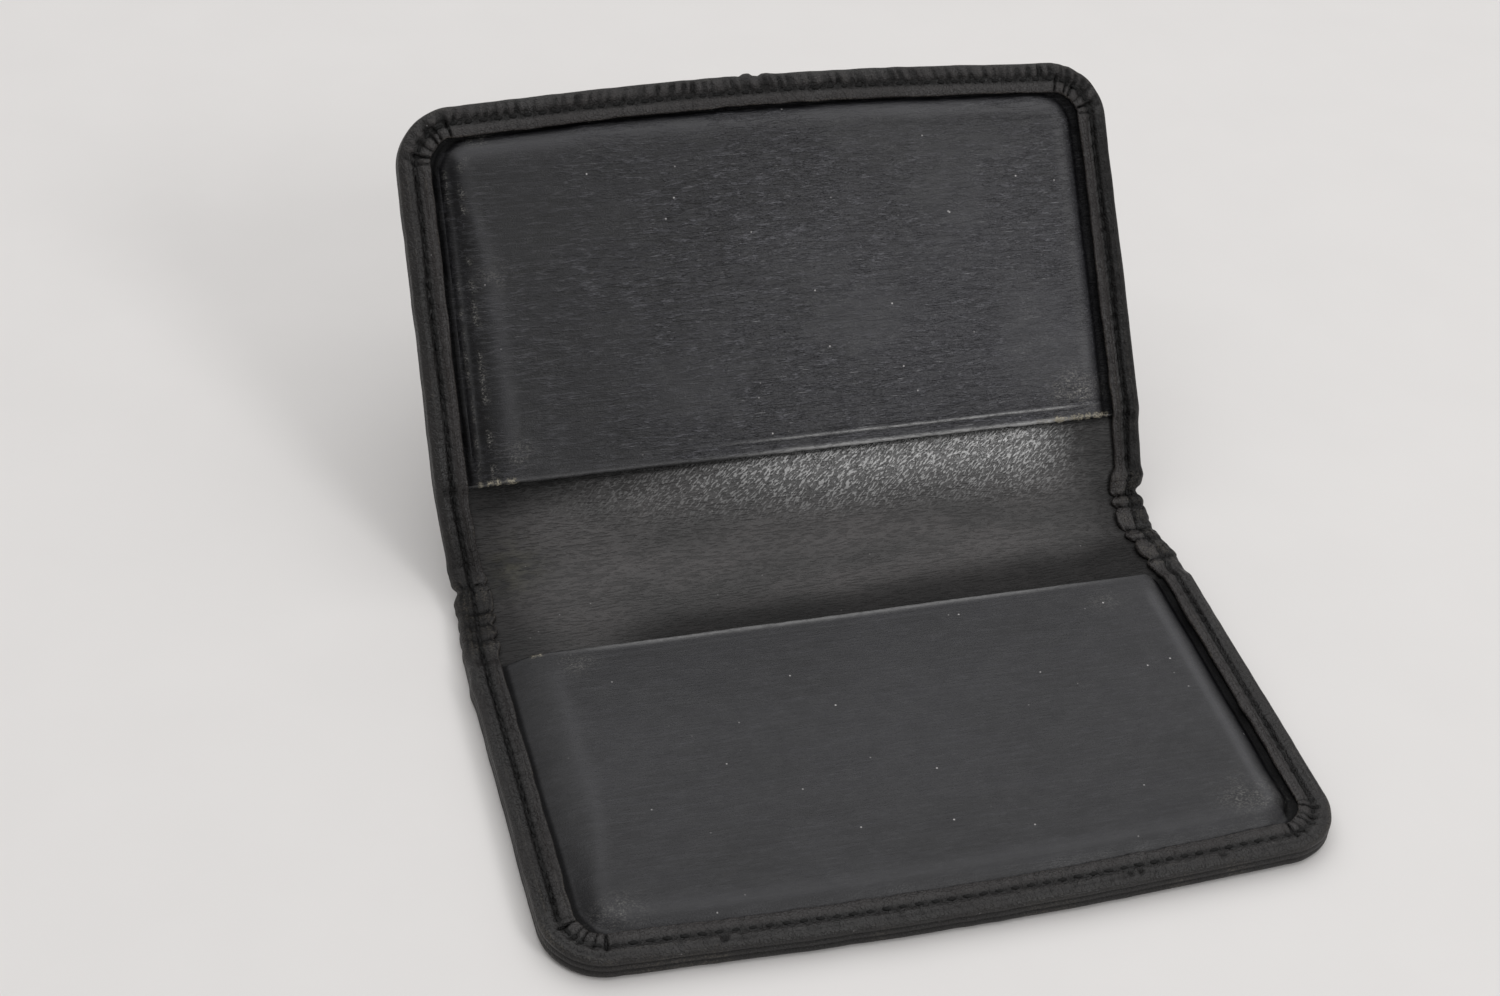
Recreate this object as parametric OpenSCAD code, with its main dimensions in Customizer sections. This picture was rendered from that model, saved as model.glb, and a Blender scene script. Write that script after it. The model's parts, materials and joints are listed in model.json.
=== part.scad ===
// Folding card holder: two stiffened leather halves joined by a soft spine,
// each with a card pocket whose mouth faces the fold. Lengths in millimetres.
// The back half lies flat, its outside at z = 0, and the front half stands open above it.

/* [Holder] */
// Width along the fold
holder_w = 105; // [98:0.5:120]
// Length of one half, from its fold line to the straight part of its outer edge
half_l = 64.3; // [60:0.1:75]
// Radius of the outer corners
corner_r = 8.5; // [6:0.5:12]
// How far the middle of an outer edge bows out
edge_bow = 1.3; // [0:0.1:2]
// How far each side is drawn in at the fold
waist = 0.9; // [0:0.1:1.5]
// Total bend of the fold as it stands, from lying flat
open_bend = 48.7; // [0:0.1:90]

/* [Leather and board] */
// Thickness of the outer leather with its paste and paper backing
cover_t = 1.1; // [0.9:0.05:1.3]
// Thickness of the stiffening board
board_t = 0.5; // [0.4:0.05:0.8]
// Thickness of the lining
lining_t = 0.4; // [0.3:0.05:0.6]
// Thickness of the pocket leather
pocket_t = 0.8; // [0.6:0.05:1]
// Thickness of the pared leather where it turns over the edge
hem_t = 0.7; // [0.5:0.05:0.9]
// Width of the turned-over hem
hem_w = 4.2; // [3.8:0.1:5]

/* [Pocket] */
// Distance from the fold line to the pocket's mouth
mouth_y = 11.6; // [9:0.1:14]
// Distance from the edge to the foot of the raised part of the pocket
raise_inset = 5.6; // [5.4:0.1:6]
// Height of the space for cards
card_gap = 1.2; // [0.8:0.1:1.6]
// Distance of the pressed crease from the mouth
crease_y = 2; // [1.5:0.1:3]

/* [Spine] */
// Length of the soft spine between its two fold lines
spine_l = 6.6; // [6.4:0.1:8]
// Height of the layer that neither stretches nor shortens in a fold
fold_z = 1; // [0.8:0.05:1.1]

/* [Seam] */
// Distance of the seam from the edge
seam_inset = 2.5; // [2:0.1:3]
// Distance from one stitch to the next
stitch_pitch = 2.1; // [1.8:0.1:3]
// Length of one stitch
stitch_l = 1.6; // [1.2:0.1:1.7]
// Radius of the thread
thread_r = 0.22; // [0.15:0.01:0.3]

/* [Hidden] */

eps = 0.01;
big = 200;
half_w = holder_w / 2;

board_z = cover_t;
lining_z = board_z + board_t;
pocket_z = lining_z + lining_t;
// Underside of the hem over the pocket's rim, over the bare lining, and on the spine
hem_z = pocket_z + pocket_t;
low_hem_z = pocket_z;
spine_hem_z = cover_t + lining_t;
edge_top = hem_z + hem_t;
raise_top = pocket_z + card_gap + pocket_t;

// The leather's wall at the edge, and where the layers inside it end
wall_t = 0.8;
layer_inset = wall_t + 0.05;
board_inset = 1.2;
board_start = 1.5;
card_inset = raise_inset + pocket_t;

// Each step of a rounded edge: inset, and how far it stays from the bottom and the top
edge_steps = [[0, 0.6], [0.2, 0.25], [0.55, 0]];
// Each step of the raised part's soft edge: extra inset, and how far it stays below the top
raise_steps = [[0, 0.6], [0.25, 0.2], [0.7, 0]];

// The sides are drawn in along this length next to a fold line
waist_l = 14;
fold_gap = 0.15;
// Half of the largest bend at one fold line, and one degree of room
fold_cut = 46;
groove_w = 1;
groove_d = 0.35;
thread_room = 0.05;
crease_w = 0.35;
crease_d = 0.15;

corner_steps = 10;
edge_points = 16;
waist_points = 6;

leather = [0.2, 0.2, 0.21];
hem_leather = [0.17, 0.17, 0.17];
lining_leather = [0.3, 0.3, 0.29];
board_grey = [0.55, 0.52, 0.48];
thread_black = [0.09, 0.09, 0.09];

// ---- Outline of one half, in its own frame: fold line along X at y = 0, outer edge at y = half_l ----

// Half the width at a distance y from the fold line, set in by d
function side_x(d, y) = half_w - d - waist * pow(max(0, 1 - y / waist_l), 2);

// How far the outer edge bows out at x, where straight_x is half the length between the corners
function bow(x, straight_x) = edge_bow * (1 - pow(x / straight_x, 2));

function arc(cx, cy, r, from, to) =
    [for (i = [0:corner_steps])
        let (a = from + (to - from) * i / corner_steps) [cx + r * cos(a), cy + r * sin(a)]];

// Points of the outline, set in by d and starting at y = start
function half_points(d, start) =
    let (
        r = corner_r - d,
        straight_x = half_w - corner_r,
        top = half_l - d,
        side = [for (i = [0:waist_points])
                    let (y = start + (waist_l - start) * i / waist_points) [side_x(d, y), y]],
        edge = [for (i = [1:edge_points - 1])
                    let (x = straight_x * (1 - 2 * i / edge_points)) [x, top + bow(x, straight_x)]]
    )
    concat(
        side,
        arc(straight_x, top - r, r, 0, 90),
        edge,
        arc(-straight_x, top - r, r, 90, 180),
        [for (i = [waist_points:-1:0]) [-side[i][0], side[i][1]]]
    );

module half_layer(d, z0, z1, start = 0) {
    translate([0, 0, z0])
        linear_extrude(z1 - z0)
            polygon(half_points(d, start));
}

// A ring of the outline between two insets, open at the fold line
module half_ring(outer_d, inner_d, z0, z1) {
    difference() {
        half_layer(outer_d, z0, z1, -1);
        half_layer(inner_d, z0 - eps, z1 + eps, -1 - eps);
    }
}

// Everything on the fold's side of the fold line: a plane below fold_z, and a slope above it that
// leaves room for the bend
module fold_room() {
    rise = big / 4;
    translate([-big / 2, 0, 0])
        rotate([90, 0, 90])
            linear_extrude(big)
                polygon([
                    [-big / 2, -rise], [fold_gap, -rise], [fold_gap, fold_z],
                    [fold_gap + rise * tan(fold_cut), fold_z + rise], [-big / 2, fold_z + rise]
                ]);
}

// ---- Sub-parts of one half ----

// Outer leather: the panel, its rounded edge and the hem turned in over the other layers
module half_cover() {
    difference() {
        for (s = edge_steps)
            half_layer(s[0], s[1], edge_top - s[1], -eps);
        // Room for the board, the lining and the pocket's rim
        half_layer(wall_t, cover_t, hem_z, -1);
        // The opening that the hem frames
        half_layer(hem_w, cover_t, edge_top + 1, -1);
        // Next to the fold there is no pocket under the hem, so the hem lies lower
        translate([-big / 2, -1, low_hem_z + hem_t])
            cube([big, mouth_y + 1 - wall_t, big]);
        half_ring(seam_inset - groove_w / 2, seam_inset + groove_w / 2, -1, groove_d);
        fold_room();
    }
    low_hem();
}

// The lower stretch of hem on both sides of the bare lining
module low_hem() {
    difference() {
        intersection() {
            half_ring(wall_t - eps, hem_w, low_hem_z, low_hem_z + hem_t);
            translate([-big / 2, -1, 0])
                cube([big, mouth_y + 1 - pocket_t / 4, big]);
        }
        fold_room();
    }
}

module half_board() {
    half_layer(board_inset, board_z, lining_z, board_start);
}

module half_lining() {
    difference() {
        half_layer(layer_inset, lining_z, pocket_z, 0);
        fold_room();
    }
}

// Pocket leather: a rim held under the hem, and a raised panel over the space for cards
module half_pocket() {
    difference() {
        union() {
            half_layer(layer_inset, pocket_z, hem_z, mouth_y);
            for (s = raise_steps)
                half_layer(raise_inset + s[0], pocket_z, raise_top - s[1], mouth_y);
        }
        half_layer(card_inset, pocket_z - 1, pocket_z + card_gap, mouth_y - 1);
        translate([-big / 2, mouth_y + crease_y, raise_top - crease_d])
            cube([big, crease_w, 1]);
    }
}

// One stitch along X: a half-round length of thread, flat side down at z = 0
module stitch() {
    rotate([90, 0, 90])
        linear_extrude(stitch_l, center = true)
            intersection() {
                circle(r = thread_r, $fn = 24);
                translate([-1, 0])
                    square([2, 1]);
            }
}

// Stitches down one side of a half, from y = first to y = last
module side_stitches(first, last, z) {
    count = floor((last - first) / stitch_pitch);
    for (i = [0:count - 1]) {
        y = first + (i + 0.5) * (last - first) / count;
        translate([side_x(seam_inset, y), y, z])
            rotate([0, 0, 90])
                stitch();
    }
}

module corner_stitches(z) {
    r = corner_r - seam_inset;
    count = floor(PI * r / 2 / stitch_pitch);
    for (i = [0:count - 1]) {
        a = 90 * (i + 0.5) / count;
        translate([half_w - corner_r + r * cos(a), half_l - corner_r + r * sin(a), z])
            rotate([0, 0, a + 90])
                stitch();
    }
}

module edge_stitches(z) {
    straight_x = half_w - corner_r;
    count = floor(2 * straight_x / stitch_pitch);
    for (i = [0:count - 1]) {
        x = straight_x * (2 * (i + 0.5) / count - 1);
        slope = -2 * edge_bow * x / pow(straight_x, 2);
        translate([x, half_l - seam_inset + bow(x, straight_x), z])
            rotate([0, 0, atan(slope)])
                stitch();
    }
}

// The whole seam of a half, on three sides; the stitches beside the bare lining lie at low_z
module half_seam(low_z, z) {
    first = 2.4;
    last = half_l - corner_r;
    for (side = [0, 1])
        mirror([side, 0, 0]) {
            side_stitches(first, mouth_y - 1.2, low_z);
            side_stitches(mouth_y, last, z);
            corner_stitches(z);
        }
    edge_stitches(z);
}

module half_inner_thread() {
    half_seam(low_hem_z + hem_t, edge_top);
}

// The outer thread lies in the groove, below the surface of the leather
module half_outer_thread() {
    mirror([0, 0, 1])
        half_seam(-groove_d, -groove_d);
}

// ---- Sub-parts of the spine, in its own frame: fold lines at y = 0 and y = spine_l ----

module spine_ends() {
    fold_room();
    translate([0, spine_l, 0])
        mirror([0, 1, 0])
            fold_room();
}

module spine_bar(d, z0, z1) {
    w = 2 * side_x(d, 0);
    translate([-w / 2, 0, z0])
        cube([w, spine_l, z1 - z0]);
}

module spine_cover() {
    top = spine_hem_z + hem_t;
    difference() {
        for (s = edge_steps)
            spine_bar(s[0], s[1], top - s[1]);
        spine_bar(wall_t, cover_t, spine_hem_z);
        spine_bar(hem_w, cover_t, top + 1);
        for (side = [-1, 1])
            translate([side * side_x(seam_inset, 0) - groove_w / 2, -1, -1])
                cube([groove_w, spine_l + 2, 1 + groove_d]);
        spine_ends();
    }
}

module spine_lining() {
    difference() {
        spine_bar(layer_inset, cover_t, cover_t + lining_t);
        spine_ends();
    }
}

// One stitch row on each side of the spine
module spine_seam(z) {
    first = 1.5;
    count = 2;
    for (side = [-1, 1], i = [0:count - 1])
        translate([side * side_x(seam_inset, 0), first + (i + 0.5) * (spine_l - 2 * first) / count, z])
            rotate([0, 0, 90])
                stitch();
}

module spine_inner_thread() {
    spine_seam(spine_hem_z + hem_t);
}

module spine_outer_thread() {
    mirror([0, 0, 1])
        spine_seam(-groove_d);
}

// ---- Placing: the back half lies on z = 0 with its middle at the origin ----

module place_back() {
    translate([0, half_l / 2, 0])
        mirror([0, 1, 0])
            children();
}

// Bends what follows up about a fold line at y, as the holder stands
module bend_at(y) {
    translate([0, y, fold_z])
        rotate([open_bend / 2, 0, 0])
            translate([0, 0, -fold_z])
                children();
}

module place_spine() {
    bend_at(half_l / 2)
        children();
}

module place_front() {
    place_spine()
        bend_at(spine_l)
            children();
}

module back_cover() { color(leather) place_back() half_cover(); }
module back_board() { color(board_grey) place_back() half_board(); }
module back_lining() { color(lining_leather) place_back() half_lining(); }
module back_pocket() { color(leather) place_back() half_pocket(); }
module back_inner_thread() { color(thread_black) place_back() half_inner_thread(); }
module back_outer_thread() { color(thread_black) place_back() half_outer_thread(); }
module spine_cover_placed() { color(hem_leather) place_spine() spine_cover(); }
module spine_lining_placed() { color(lining_leather) place_spine() spine_lining(); }
module spine_inner_thread_placed() { color(thread_black) place_spine() spine_inner_thread(); }
module spine_outer_thread_placed() { color(thread_black) place_spine() spine_outer_thread(); }
module front_cover() { color(leather) place_front() half_cover(); }
module front_board() { color(board_grey) place_front() half_board(); }
module front_lining() { color(lining_leather) place_front() half_lining(); }
module front_pocket() { color(leather) place_front() half_pocket(); }
module front_inner_thread() { color(thread_black) place_front() half_inner_thread(); }
module front_outer_thread() { color(thread_black) place_front() half_outer_thread(); }

back_cover();
back_board();
back_lining();
back_pocket();
back_inner_thread();
back_outer_thread();
spine_cover_placed();  // spine_cover
spine_lining_placed();  // spine_lining
spine_inner_thread_placed();  // spine_inner_thread
spine_outer_thread_placed();  // spine_outer_thread
front_cover();
front_board();
front_lining();
front_pocket();
front_inner_thread();
front_outer_thread();
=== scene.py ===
"""Folding card holder in black leather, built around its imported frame.

Leather shapes are worked out flat, in a half's own frame in millimetres: x along the fold, y from
the fold line to the outer edge, z up from the outside of the leather. fold_up() then lays them along
the bent spine and into the row frame, in metres.
"""
import json
import math
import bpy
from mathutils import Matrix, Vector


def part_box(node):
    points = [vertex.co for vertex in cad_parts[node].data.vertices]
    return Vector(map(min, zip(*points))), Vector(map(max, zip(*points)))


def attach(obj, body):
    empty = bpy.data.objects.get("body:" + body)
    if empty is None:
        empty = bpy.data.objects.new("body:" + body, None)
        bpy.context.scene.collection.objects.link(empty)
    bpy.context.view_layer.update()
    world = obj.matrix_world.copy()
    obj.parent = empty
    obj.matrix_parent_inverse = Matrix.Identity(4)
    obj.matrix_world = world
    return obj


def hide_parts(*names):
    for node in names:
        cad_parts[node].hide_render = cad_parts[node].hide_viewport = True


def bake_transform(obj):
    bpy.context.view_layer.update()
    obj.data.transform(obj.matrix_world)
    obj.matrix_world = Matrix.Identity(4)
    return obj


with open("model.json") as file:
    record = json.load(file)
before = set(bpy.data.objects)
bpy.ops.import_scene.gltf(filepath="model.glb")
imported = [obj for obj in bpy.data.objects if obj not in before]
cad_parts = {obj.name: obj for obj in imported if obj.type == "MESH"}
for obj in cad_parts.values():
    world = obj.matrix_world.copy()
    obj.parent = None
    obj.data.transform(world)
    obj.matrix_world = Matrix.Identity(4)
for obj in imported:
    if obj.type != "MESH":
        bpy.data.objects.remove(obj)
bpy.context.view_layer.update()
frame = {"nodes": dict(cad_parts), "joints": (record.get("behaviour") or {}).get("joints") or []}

from types import SimpleNamespace

import bpy
import numpy as np
from mathutils import Matrix, Vector

# ---- Sizes, in millimetres, from the frame ----

MM = 0.001
hinges = {j["name"]: np.array(j["pos_m"]) / MM for j in frame["joints"]}
cover_low, cover_high = (np.array(c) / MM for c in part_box("back_cover"))
pocket_high = np.array(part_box("back_pocket")[1]) / MM
fold_step = hinges["front_fold"] - hinges["back_fold"]

FOLD_Y = hinges["back_fold"][1]
FOLD_Z = hinges["back_fold"][2]
SPINE_L = math.hypot(fold_step[1], fold_step[2])
HALF_BEND = math.atan2(fold_step[2], fold_step[1])
HALF_L = 2 * FOLD_Y
HALF_W = cover_high[0]
EDGE_BOW = -HALF_L / 2 - cover_low[1]
EDGE_TOP = cover_high[2]
RAISE_TOP = pocket_high[2]
MOUTH_Y = FOLD_Y - pocket_high[1]

CORNER_R = 8.5
# Each side comes in by WAIST at the fold line, over WAIST_L
WAIST = 0.9
WAIST_L = 14

# Thicknesses of the layers
COVER_T = 1.1
BOARD_T = 0.5
LINING_T = 0.4
POCKET_T = 0.8
HEM_T = 0.7

# Inset of the edge seam, and its pitch
SEAM = 2.5
STITCH = 2.1

# A half's pieces start at the middle of the spine. The bend is spread over BLEND_L
# on both sides of a fold line
START = -SPINE_L / 2
BLEND_L = SPINE_L / 2

# Height of the hem's top beside the bare lining, and on the spine
LOW_TOP = COVER_T + BOARD_T + LINING_T + HEM_T
SPINE_TOP = COVER_T + LINING_T + HEM_T
LINING_TOP = COVER_T + BOARD_T + LINING_T
RIM_TOP = LINING_TOP + POCKET_T

# ---- Curves and seeded noise on numpy arrays ----


def smooth(t):
    t = np.clip(t, 0, 1)
    return t * t * (3 - 2 * t)


def ramp(v, low, high):
    """0 at low, 1 at high, smooth between them."""
    return smooth((v - low) / (high - low))


def ridge(v, middle, width):
    return np.exp(-(((v - middle) / width) ** 2))


def between(v, low, high, soft):
    """1 from low to high, 0 outside them."""
    return ramp(v, low - soft, low + soft) * ramp(-v, -high - soft, -high + soft)


def noise(x, y, seed):
    """Smooth noise on a plane, from -1 to 1, with a step of about 1."""
    values = np.random.default_rng(seed).uniform(-1, 1, (256, 256))
    x, y = np.asarray(x, float) + 600, np.asarray(y, float) + 600
    i, j = np.floor(x).astype(int), np.floor(y).astype(int)
    u, v = smooth(x - i), smooth(y - j)
    low = values[i % 256, j % 256] * (1 - u) + values[(i + 1) % 256, j % 256] * u
    high = values[i % 256, (j + 1) % 256] * (1 - u) + values[(i + 1) % 256, (j + 1) % 256] * u
    return low * (1 - v) + high * v


def cloudy(x, y, seed, octaves=3):
    return sum(noise(x * 2**k, y * 2**k, seed + k) / 2**k for k in range(octaves)) / 1.6


def cuts(s, pitch, width, seed, jitter=0.12):
    """A row of narrow cuts about a pitch apart, each 0.4 to 1 deep."""
    random = np.random.default_rng(seed)
    shift, depth = random.uniform(-jitter, jitter, 512), random.uniform(0.4, 1, 512)
    k = np.round(s / pitch).astype(int)
    return depth[k % 512] * ridge(s, (k + shift[k % 512]) * pitch, width)


# ---- The bent spine: from a half's flat frame to the row frame ----


def flat_y(y, side):
    """Distance along the whole flat holder, from the back fold line towards the front half."""
    return -y if side == "back" else SPINE_L + y


def bend_angle(t):
    first = smooth((t + BLEND_L) / (2 * BLEND_L))
    second = smooth((t - SPINE_L + BLEND_L) / (2 * BLEND_L))
    return HALF_BEND * (first + second)


def spine_line():
    """Distances along the bent middle layer, with its y and z from the back fold line."""
    t = np.linspace(-BLEND_L, SPINE_L + BLEND_L, 2001)
    a = bend_angle((t[1:] + t[:-1]) / 2)
    step = t[1] - t[0]
    y = -BLEND_L + np.concatenate([[0], np.cumsum(np.cos(a)) * step])
    z = np.concatenate([[0], np.cumsum(np.sin(a)) * step])
    end_y = SPINE_L * math.cos(HALF_BEND) + BLEND_L * math.cos(2 * HALF_BEND)
    end_z = SPINE_L * math.sin(HALF_BEND) + BLEND_L * math.sin(2 * HALF_BEND)
    share = smooth((t + BLEND_L) / (SPINE_L + 2 * BLEND_L))
    return t, y + (end_y - y[-1]) * share, z + (end_z - z[-1]) * share


LINE_T, LINE_Y, LINE_Z = spine_line()


def fold_up(points, side):
    """Moves flat points of one side onto the bent holder, in the row frame, in metres."""
    x, y, z = points.T
    t = flat_y(y, side)
    a = bend_angle(t)
    before, after = np.minimum(t - LINE_T[0], 0), np.maximum(t - LINE_T[-1], 0)
    line_y = np.interp(t, LINE_T, LINE_Y) + before + after * math.cos(2 * HALF_BEND)
    line_z = np.interp(t, LINE_T, LINE_Z) + after * math.sin(2 * HALF_BEND)
    high = z - FOLD_Z
    return np.stack([x, FOLD_Y + line_y - high * np.sin(a), FOLD_Z + line_z + high * np.cos(a)], 1) * MM


# ---- Outline of one half ----


def side_x(inset, y):
    return HALF_W - inset - WAIST * np.maximum(0, 1 - np.maximum(y, 0) / WAIST_L) ** 2


def spread(length, near_l, near_step, far_step, of=4):
    """Shares of a length, close together at its start. Their number is a multiple of `of`."""
    near = np.arange(0, near_l, near_step)
    far = np.arange(near_l, length - far_step / 2, far_step)
    count = (len(near) + len(far)) // of * of
    return np.interp(np.arange(count) / count, np.linspace(0, 1, len(near) + len(far) + 1),
                     np.concatenate([near, far, [length]]) / length)


class Outline:
    """Outlines of one half, with the same number of points at every inset from its edge."""

    def __init__(self, start, shares, n_corner, n_edge):
        self.start, self.shares, self.n_corner, self.n_edge = start, shares, n_corner, n_edge

    def line(self, inset):
        """Up the right side, along the outer edge, down the left."""
        r = max(CORNER_R - inset, 1.6)
        cx, cy = HALF_W - inset - r, HALF_L - inset - r
        y = self.start + (cy - self.start) * self.shares
        right = np.stack([side_x(inset, y), y], 1)
        a = np.linspace(0, math.pi / 2, self.n_corner, endpoint=False)
        corner = np.stack([cx + r * np.cos(a), cy + r * np.sin(a)], 1)
        x = np.linspace(cx, -cx, self.n_edge + 1)
        edge = np.stack([x, HALF_L - inset + EDGE_BOW * (1 - (x / cx) ** 2) ** 1.3], 1)
        mirrored = np.concatenate([right, corner])[::-1] * [-1, 1]
        return np.concatenate([right, corner, edge, mirrored])

    def core(self, inset):
        """A grid whose border is the outline. Rows go outward, columns go left."""
        line = self.line(inset)
        rows = len(self.shares) + self.n_corner // 2
        cols = self.n_edge + 2 * (self.n_corner - self.n_corner // 2)
        right, top = line[: rows + 1], line[rows : rows + cols + 1]
        left = line[rows + cols :][::-1]
        v = ((right[:, 1] - right[0, 1]) / (right[-1, 1] - right[0, 1]))[:, None, None]
        u = ((top[:, 0] - top[0, 0]) / (top[-1, 0] - top[0, 0]))[None, :, None]
        far = right[-1] * (1 - u) + left[-1] * u
        sides = right[:, None] * (1 - u) + left[:, None] * u
        return sides + (top[None] - far) * v


def grid_border(grid):
    return np.concatenate([grid[:, 0], grid[-1, 1:], grid[:-1, -1][::-1]])


# ---- A closed piece of leather ----


class Sheet:
    """Points and faces of one closed piece, flat, in millimetres, with marks for its material."""

    def __init__(self, side):
        self.side, self.points, self.marks, self.faces, self.total = side, [], [], [], 0

    def add(self, xy, z, **marks):
        """Adds points and returns their numbers in the same shape."""
        shape = xy.shape[:-1]
        z = np.broadcast_to(z, shape)
        self.points.append(np.concatenate([xy, z[..., None]], -1).reshape(-1, 3))
        self.marks.append({k: np.broadcast_to(v, shape).ravel() for k, v in marks.items()})
        index = np.arange(self.total, self.total + z.size).reshape(shape)
        self.total += z.size
        return index

    def band(self, a, b):
        """Faces between two rows of points, of which either may have k times the other's steps."""
        long, short = (a, b) if len(a) >= len(b) else (b, a)
        k = (len(long) - 1) // (len(short) - 1)
        for i in range(len(short) - 1):
            run = long[k * i : k * i + k + 1].tolist()
            ends = [short[i + 1], short[i]]
            face = run + ends if long is a else ends[::-1] + run[::-1]
            self.faces.append([int(n) for n in face])

    def bands(self, rows):
        for a, b in zip(rows, rows[1:]):
            self.band(a, b)

    def close_ends(self, rows):
        """One face over the first points of the rows, and one over their last points."""
        self.faces.append([int(row[0]) for row in rows])
        self.faces.append([int(row[-1]) for row in rows][::-1])

    def fill(self, grid, up):
        self.bands(grid[::-1] if up else grid)

    def mark(self, label):
        sizes = [len(p) for p in self.points]
        return np.concatenate([m.get(label, np.zeros(n)) for m, n in zip(self.marks, sizes)])


def make_object(name, sheet, material, marks=(), sharp=50):
    """The Blender object of a sheet. Its marks and its flat place are stored for its material."""
    flat = np.concatenate(sheet.points)
    faces = sheet.faces if sheet.side == "front" else [f[::-1] for f in sheet.faces]
    mesh = bpy.data.meshes.new(name)
    mesh.from_pydata(fold_up(flat, sheet.side).tolist(), [], faces)
    laid = np.stack([flat[:, 0], flat_y(flat[:, 1], sheet.side), flat[:, 2]], 1)
    stored = mesh.attributes.new("rest_at", "FLOAT_VECTOR", "POINT")
    stored.data.foreach_set("vector", laid.astype(np.float32).ravel())
    for label in marks:
        stored = mesh.attributes.new(label, "FLOAT", "POINT")
        stored.data.foreach_set("value", sheet.mark(label).astype(np.float32))
    mesh.shade_smooth()
    mesh.set_sharp_from_angle(angle=math.radians(sharp))
    mesh.materials.append(material)
    made = bpy.data.objects.new(name, mesh)
    bpy.context.scene.collection.objects.link(made)
    return made


# ---- Cover: the outer leather, its edge and its turned hem ----

COVER_SHARES = spread(HALF_L - CORNER_R - START, 20, 0.2, 0.24, 8)
COVER = Outline(START, COVER_SHARES, 48, 416)
# The flat middle of the leather, from COVER_CORE inwards, has a quarter of the points
COVER_COARSE = Outline(START, COVER_SHARES[::4], 12, 104)
COVER_CORE = 6

# Inset and height of each ring: on the outside of the leather, from its outside
BELOW = [(4.6, 0), (3.6, 0), (3.1, 0), (2.85, 0.05), (2.68, 0.25), (2.5, 0.33), (2.32, 0.25), (2.15, 0.05),
         (1.9, 0), (1.4, 0), (0.95, 0), (0.6, 0.07), (0.3, 0.27), (0.1, 0.55), (0, 0.85)]
# On the edge, as a share of the way from its foot to its shoulder
EDGE = [(0.02, 0.1), (0.15, 0.22), (0.16, 0.28), (0.02, 0.4),
        (0.05, 0.55), (0.2, 0.66), (0.22, 0.72), (0.04, 0.84)]
EDGE_FOOT = 0.85
EDGE_SHOULDER = 0.55
# Round the shoulder, over the hem, round its inner lip and back under it, from the hem's top
ABOVE = [(0.06, -0.55), (0.22, -0.28), (0.45, -0.1)]
HEM_RINGS = [0.75, 1, 1.25, 1.5, 1.75, 1.95, 2.12, 2.3, 2.5, 2.7, 2.88, 3.05, 3.3, 3.55, 3.8, 4, 4.15]
LIP = [(4.3, -0.03), (4.42, -0.12), (4.48, -0.28), (4.46, -0.48), (4.36, -0.66)]
LIP_INSET = 4.3
UNDER = [(4, -0.7), (1, -0.7), (0.8, -0.85)]
# Down to the inside of the leather, from that inside
WALL = [(0.8, 0.35), (0.95, 0)]

HEM_SEED = {"back": 50, "front": 60}
# Depth of the ribs on the hem's outer and inner band, at the stitches and halfway between them
STITCH_RIBS = {"back": (0.08, 0.16), "front": (0.3, 0.06)}
HALF_RIBS = {"back": (0.2, 0.13), "front": (0.26, 0.06)}
# How strongly painted shade fills the rib dips, on each half
RIB_PAINTED_SHADE = {"back": 2, "front": 4}
# Painted highlight along the hem's outer band at the outer edge, on each half
OUTER_HIGHLIGHT = {"back": 0.25, "front": 0.65}
# Tears in the back half's outer edge, along x
TEARS = (21.5, 23, 34.5, -31)
LOBE_L = 3.5
PLEAT_DEGREES = 14


def hem_top(y):
    """Height of the hem over the pocket, beside the bare lining and on the spine."""
    over_lining = SPINE_TOP + (LOW_TOP - SPINE_TOP) * ramp(y, -0.5, 3.5)
    return over_lining + (EDGE_TOP - LOW_TOP) * ramp(y, MOUTH_Y - 1.6, MOUTH_Y + 1)


def seam_line():
    """The seam's outline, its count of stitch holes at each point, and the number of stitches."""
    line = COVER.line(SEAM)
    steps = np.linalg.norm(np.diff(line, axis=0), axis=1)
    along = np.concatenate([[0], np.cumsum(steps)])
    count = round(along[-1] / STITCH)
    return line, along / along[-1] * count, count


def normal_of(line):
    """Outward normals of an outline."""
    step = np.gradient(line, axis=0)
    turned = np.stack([step[:, 1], -step[:, 0]], 1)
    return turned / np.linalg.norm(turned, axis=1)[:, None]


def outer_edge_share(y):
    """1 along the outer edge of a half, 0 along its sides."""
    return ramp(y, HALF_L - CORNER_R - 2, HALF_L - CORNER_R + 3)


def corner_share(xy):
    """1 on the rounded corners of a half."""
    out_x = (np.abs(xy[..., 0]) - (HALF_W - CORNER_R)) / CORNER_R
    out_y = (xy[..., 1] - (HALF_L - CORNER_R)) / CORNER_R
    return ramp(out_x, -0.05, 0.15) * ramp(out_y, -0.05, 0.15)


def corner_turn(xy):
    """Angle round the nearest corner, in degrees."""
    out_x = np.abs(xy[..., 0]) - (HALF_W - CORNER_R)
    out_y = xy[..., 1] - (HALF_L - CORNER_R)
    return np.degrees(np.arctan2(np.maximum(out_y, 0.01), np.maximum(out_x, 0.01)))


def crumple(x, t):
    """How much the hem is creased where it crosses the spine; t is flat_y."""
    right = between(t, -9, 10.2, 1.2)
    left = 0.75 * between(t, -8.5, 5.4, 1.2)
    return np.where(x > 0, right, left)


def lobes(x, t):
    """Uneven lobes, 2 to 4 mm long, of the creased hem: 0 in the cracks, 1 on top."""
    shifted = t + 1.1 * noise(t / 3.4, np.sign(x) * 5, 31) + 0.5 * noise(t / 1.8, x / 2.2, 32)
    return np.abs(np.sin(math.pi * (shifted - SPINE_L / 2) / LOBE_L)) ** 0.6


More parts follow.
